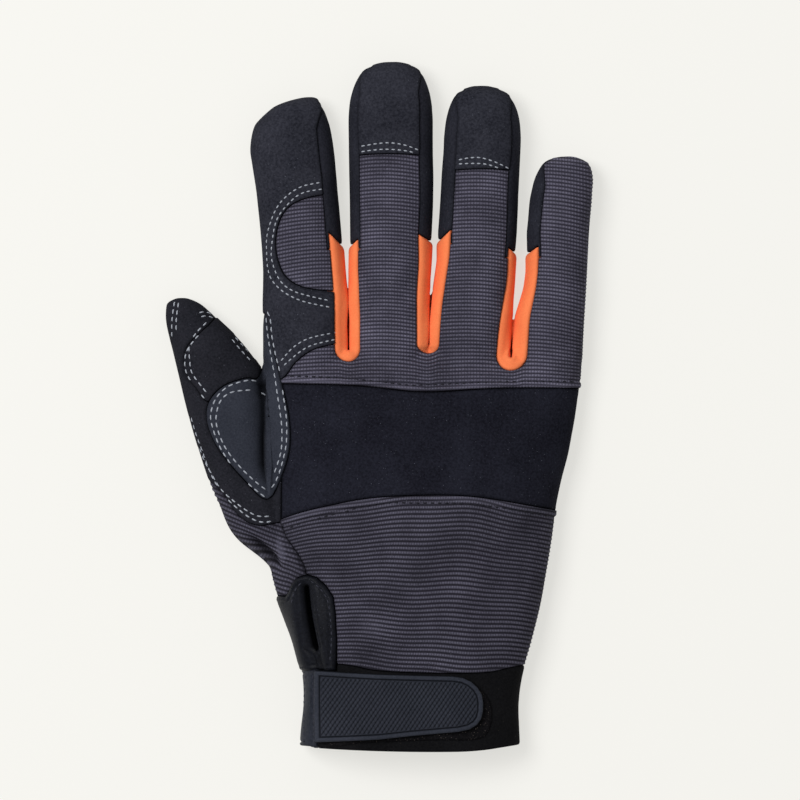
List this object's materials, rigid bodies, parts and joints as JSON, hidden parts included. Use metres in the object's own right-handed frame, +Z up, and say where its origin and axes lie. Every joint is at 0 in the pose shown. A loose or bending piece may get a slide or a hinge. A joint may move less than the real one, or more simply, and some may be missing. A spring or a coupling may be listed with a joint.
{
  "type": "mechanic glove",
  "caption": "Hollow right-hand mechanic glove with knit back, suede patches, padded knuckle band, finger gussets, wrist slit and a closing tab.",
  "frame": {"origin": "under the middle of the glove's bounding box, on the flat underside it lies on", "axes": "+X to the little finger's side, +Y to the finger ends, +Z up out of the back of the hand; the thumb is on the -X side"},
  "size_m": [0.1546, 0.25, 0.0293],
  "materials": {
    "suede": "matt fine-napped synthetic suede",
    "waffle_knit": "matt knit with fine cross ribs and wales",
    "rib_knit": "matt knit with bold cross ribs",
    "band_cloth": "matt brushed padded cloth",
    "cuff_neoprene": "matt cloth-faced neoprene",
    "binding_leather": "soft sheen synthetic leather",
    "side_cloth": "matt stretch cloth",
    "gusset_cloth": "matt stretch cloth",
    "patch_twill": "smooth fine twill with a slight sheen",
    "loop_field": "fuzzy loop pile",
    "tab_rubber": "satin moulded rubber with a cross-hatch"
  },
  "bodies": {
    "root": {"palm_panel": "suede", "index_overlay": "suede", "tip_cap_middle": "suede", "tip_cap_ring": "suede", "thumb_leather": "suede", "thumb_pad": "suede", "back_upper_knit": "waffle_knit", "index_inset": "waffle_knit", "back_lower_knit": "rib_knit", "thumb_base_knit": "rib_knit", "knuckle_band": "band_cloth", "cuff_band": "cuff_neoprene", "cuff_binding": "binding_leather", "vent_binding": "binding_leather", "web_patch": "patch_twill", "loop_patch": "loop_field", "strap_tab": "tab_rubber", "side_wall_index": "side_cloth", "side_wall_middle_left": "side_cloth", "side_wall_middle_right": "side_cloth", "side_wall_ring_left": "side_cloth", "side_wall_ring_right": "side_cloth", "side_wall_pinky": "side_cloth", "gusset_index_middle": "gusset_cloth", "gusset_middle_ring": "gusset_cloth", "gusset_ring_pinky": "gusset_cloth"}
  },
  "joints": []
}
